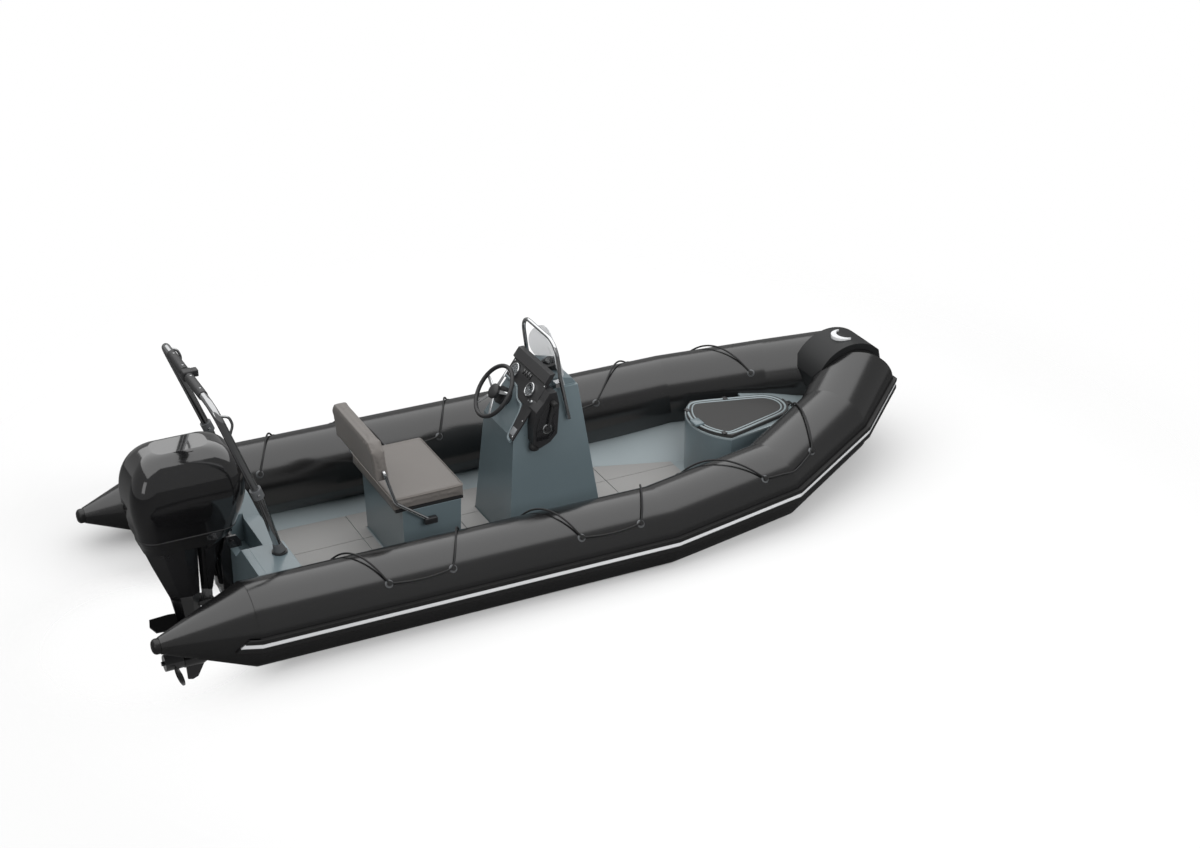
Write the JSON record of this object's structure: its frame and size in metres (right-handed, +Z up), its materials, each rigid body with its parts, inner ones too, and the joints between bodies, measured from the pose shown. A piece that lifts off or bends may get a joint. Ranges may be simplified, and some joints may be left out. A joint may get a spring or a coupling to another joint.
{
  "type": "rigid inflatable boat with console and outboard engine",
  "caption": "Open rigid inflatable boat with black tubes, steering console, seat with flip backrest, bow locker, roll bar and a tilting outboard engine",
  "frame": {"origin": "on the waterline at the centreline, amidships", "axes": "+X towards the bow, +Y to port, +Z up"},
  "size_m": [5.3084, 2.2042, 2.061],
  "materials": {
    "tube_fabric": "satin coated fabric, black",
    "rubber_black": "matt rubber",
    "stripe_grey": "light grey rubber strip",
    "gelcoat": "blue-grey gelcoat, semi-gloss",
    "gelcoat_deck": "light blue-grey gelcoat, non-skid",
    "hull_gelcoat": "blue-grey gelcoat",
    "deck_panel": "taupe foam panel",
    "vinyl_taupe": "taupe marine vinyl",
    "lid_grey": "dark grey non-skid",
    "plastic_black": "black moulded plastic",
    "engine_gloss": "gloss black paint",
    "engine_satin": "satin black paint",
    "stainless": "polished stainless steel",
    "prop_metal": "grey painted aluminium",
    "screen": "smoked clear acrylic",
    "instrument": "instrument with polished ring",
    "iron": "engine block"
  },
  "bodies": {
    "hull": {"bow_eye": "stainless", "bow_handle": "stripe_grey", "bow_locker": "gelcoat", "bow_step": "rubber_black", "bow_tube": "tube_fabric", "compass": "plastic_black", "cone_port": "tube_fabric", "cone_starboard": "tube_fabric", "console": "gelcoat", "console_rail": "stainless", "dash_brow": "plastic_black", "dash_panel": "plastic_black", "deck": "gelcoat_deck", "floor_panels": "deck_panel", "gauges": "instrument", "helm": "plastic_black", "hull": "hull_gelcoat", "lid_hinge": "plastic_black", "lifeline_fittings": "stainless", "lifeline_port": "rubber_black", "lifeline_starboard": "rubber_black", "rail_feet": "plastic_black", "roll_bar": "stainless", "roll_bar_clamps": "plastic_black", "roll_bar_feet": "stainless", "seat_box": "gelcoat", "seat_hinge": "stainless", "stern_bracket": "engine_satin", "stern_eyes": "stainless", "stern_moulding": "gelcoat", "strake_port": "rubber_black", "strake_starboard": "rubber_black", "stripe_port": "stripe_grey", "stripe_starboard": "stripe_grey", "throttle_box": "plastic_black", "throttle_lever": "plastic_black", "tilt_barrel": "engine_satin", "tip_caps": "rubber_black", "transom": "hull_gelcoat", "tube_port": "tube_fabric", "tube_starboard": "tube_fabric", "windscreen": "screen"},
    "engine_swivel": {"swivel_bracket": "engine_satin"},
    "engine": {"steering_arm": "engine_satin", "cowl_upper": "engine_gloss", "cowl_lower": "engine_satin", "powerhead": "iron", "midsection": "engine_gloss", "gearcase": "engine_gloss"},
    "propeller": {"propeller": "prop_metal"},
    "ram_rod": {"tilt_rod": "stainless"},
    "steering_wheel": {"wheel_rim": "rubber_black", "wheel_hub": "stainless"},
    "locker_lid": {"locker_lid": "lid_grey"},
    "seat_lid": {"seat_lid": "plastic_black", "seat_cushion": "vinyl_taupe"},
    "backrest": {"backrest": "vinyl_taupe", "backrest_arms": "stainless"}
  },
  "joints": [
    {"name": "engine_tilt", "type": "hinge", "parent": "hull", "child": "engine_swivel", "pos_m": [-1.95, 0, 0.328], "axis": [0, 1, 0], "range_deg": [0, 65]},
    {"name": "engine_steer", "type": "hinge", "parent": "engine_swivel", "child": "engine", "pos_m": [-2.1, 0, 0.12], "axis": [0, 0, 1], "range_deg": [-30, 30]},
    {"name": "propeller_spin", "type": "hinge", "parent": "engine", "child": "propeller", "pos_m": [-2.345, 0, -0.467], "axis": [1, 0, 0], "continuous": true},
    {"name": "ram_extend", "type": "slide", "parent": "hull", "child": "ram_rod", "axis": [-0.1307, 0, 0.9914], "range_m": [0, 0.15]},
    {"name": "wheel_turn", "type": "hinge", "parent": "hull", "child": "steering_wheel", "pos_m": [-0.14005, 0.09, 0.84223], "axis": [0.8014, 0, -0.5981], "range_deg": [-540, 540]},
    {"name": "locker_lid_open", "type": "hinge", "parent": "hull", "child": "locker_lid", "pos_m": [1.955, 0, 0.342], "axis": [0, 1, 0], "range_deg": [0, 80]},
    {"name": "seat_lid_open", "type": "hinge", "parent": "hull", "child": "seat_lid", "pos_m": [-0.5535, 0, 0.388], "axis": [0, 1, 0], "range_deg": [0, 75]},
    {"name": "backrest_flip", "type": "hinge", "parent": "hull", "child": "backrest", "pos_m": [-0.779, 0, 0.31], "axis": [0, -1, 0], "range_deg": [-62, 0]}
  ],
  "couplings": [
    {"joint": "ram_extend", "follows": "engine_tilt", "m_per_rad": 0.13002},
    {"joint": "wheel_turn", "follows": "engine_steer", "ratio": 18}
  ]
}
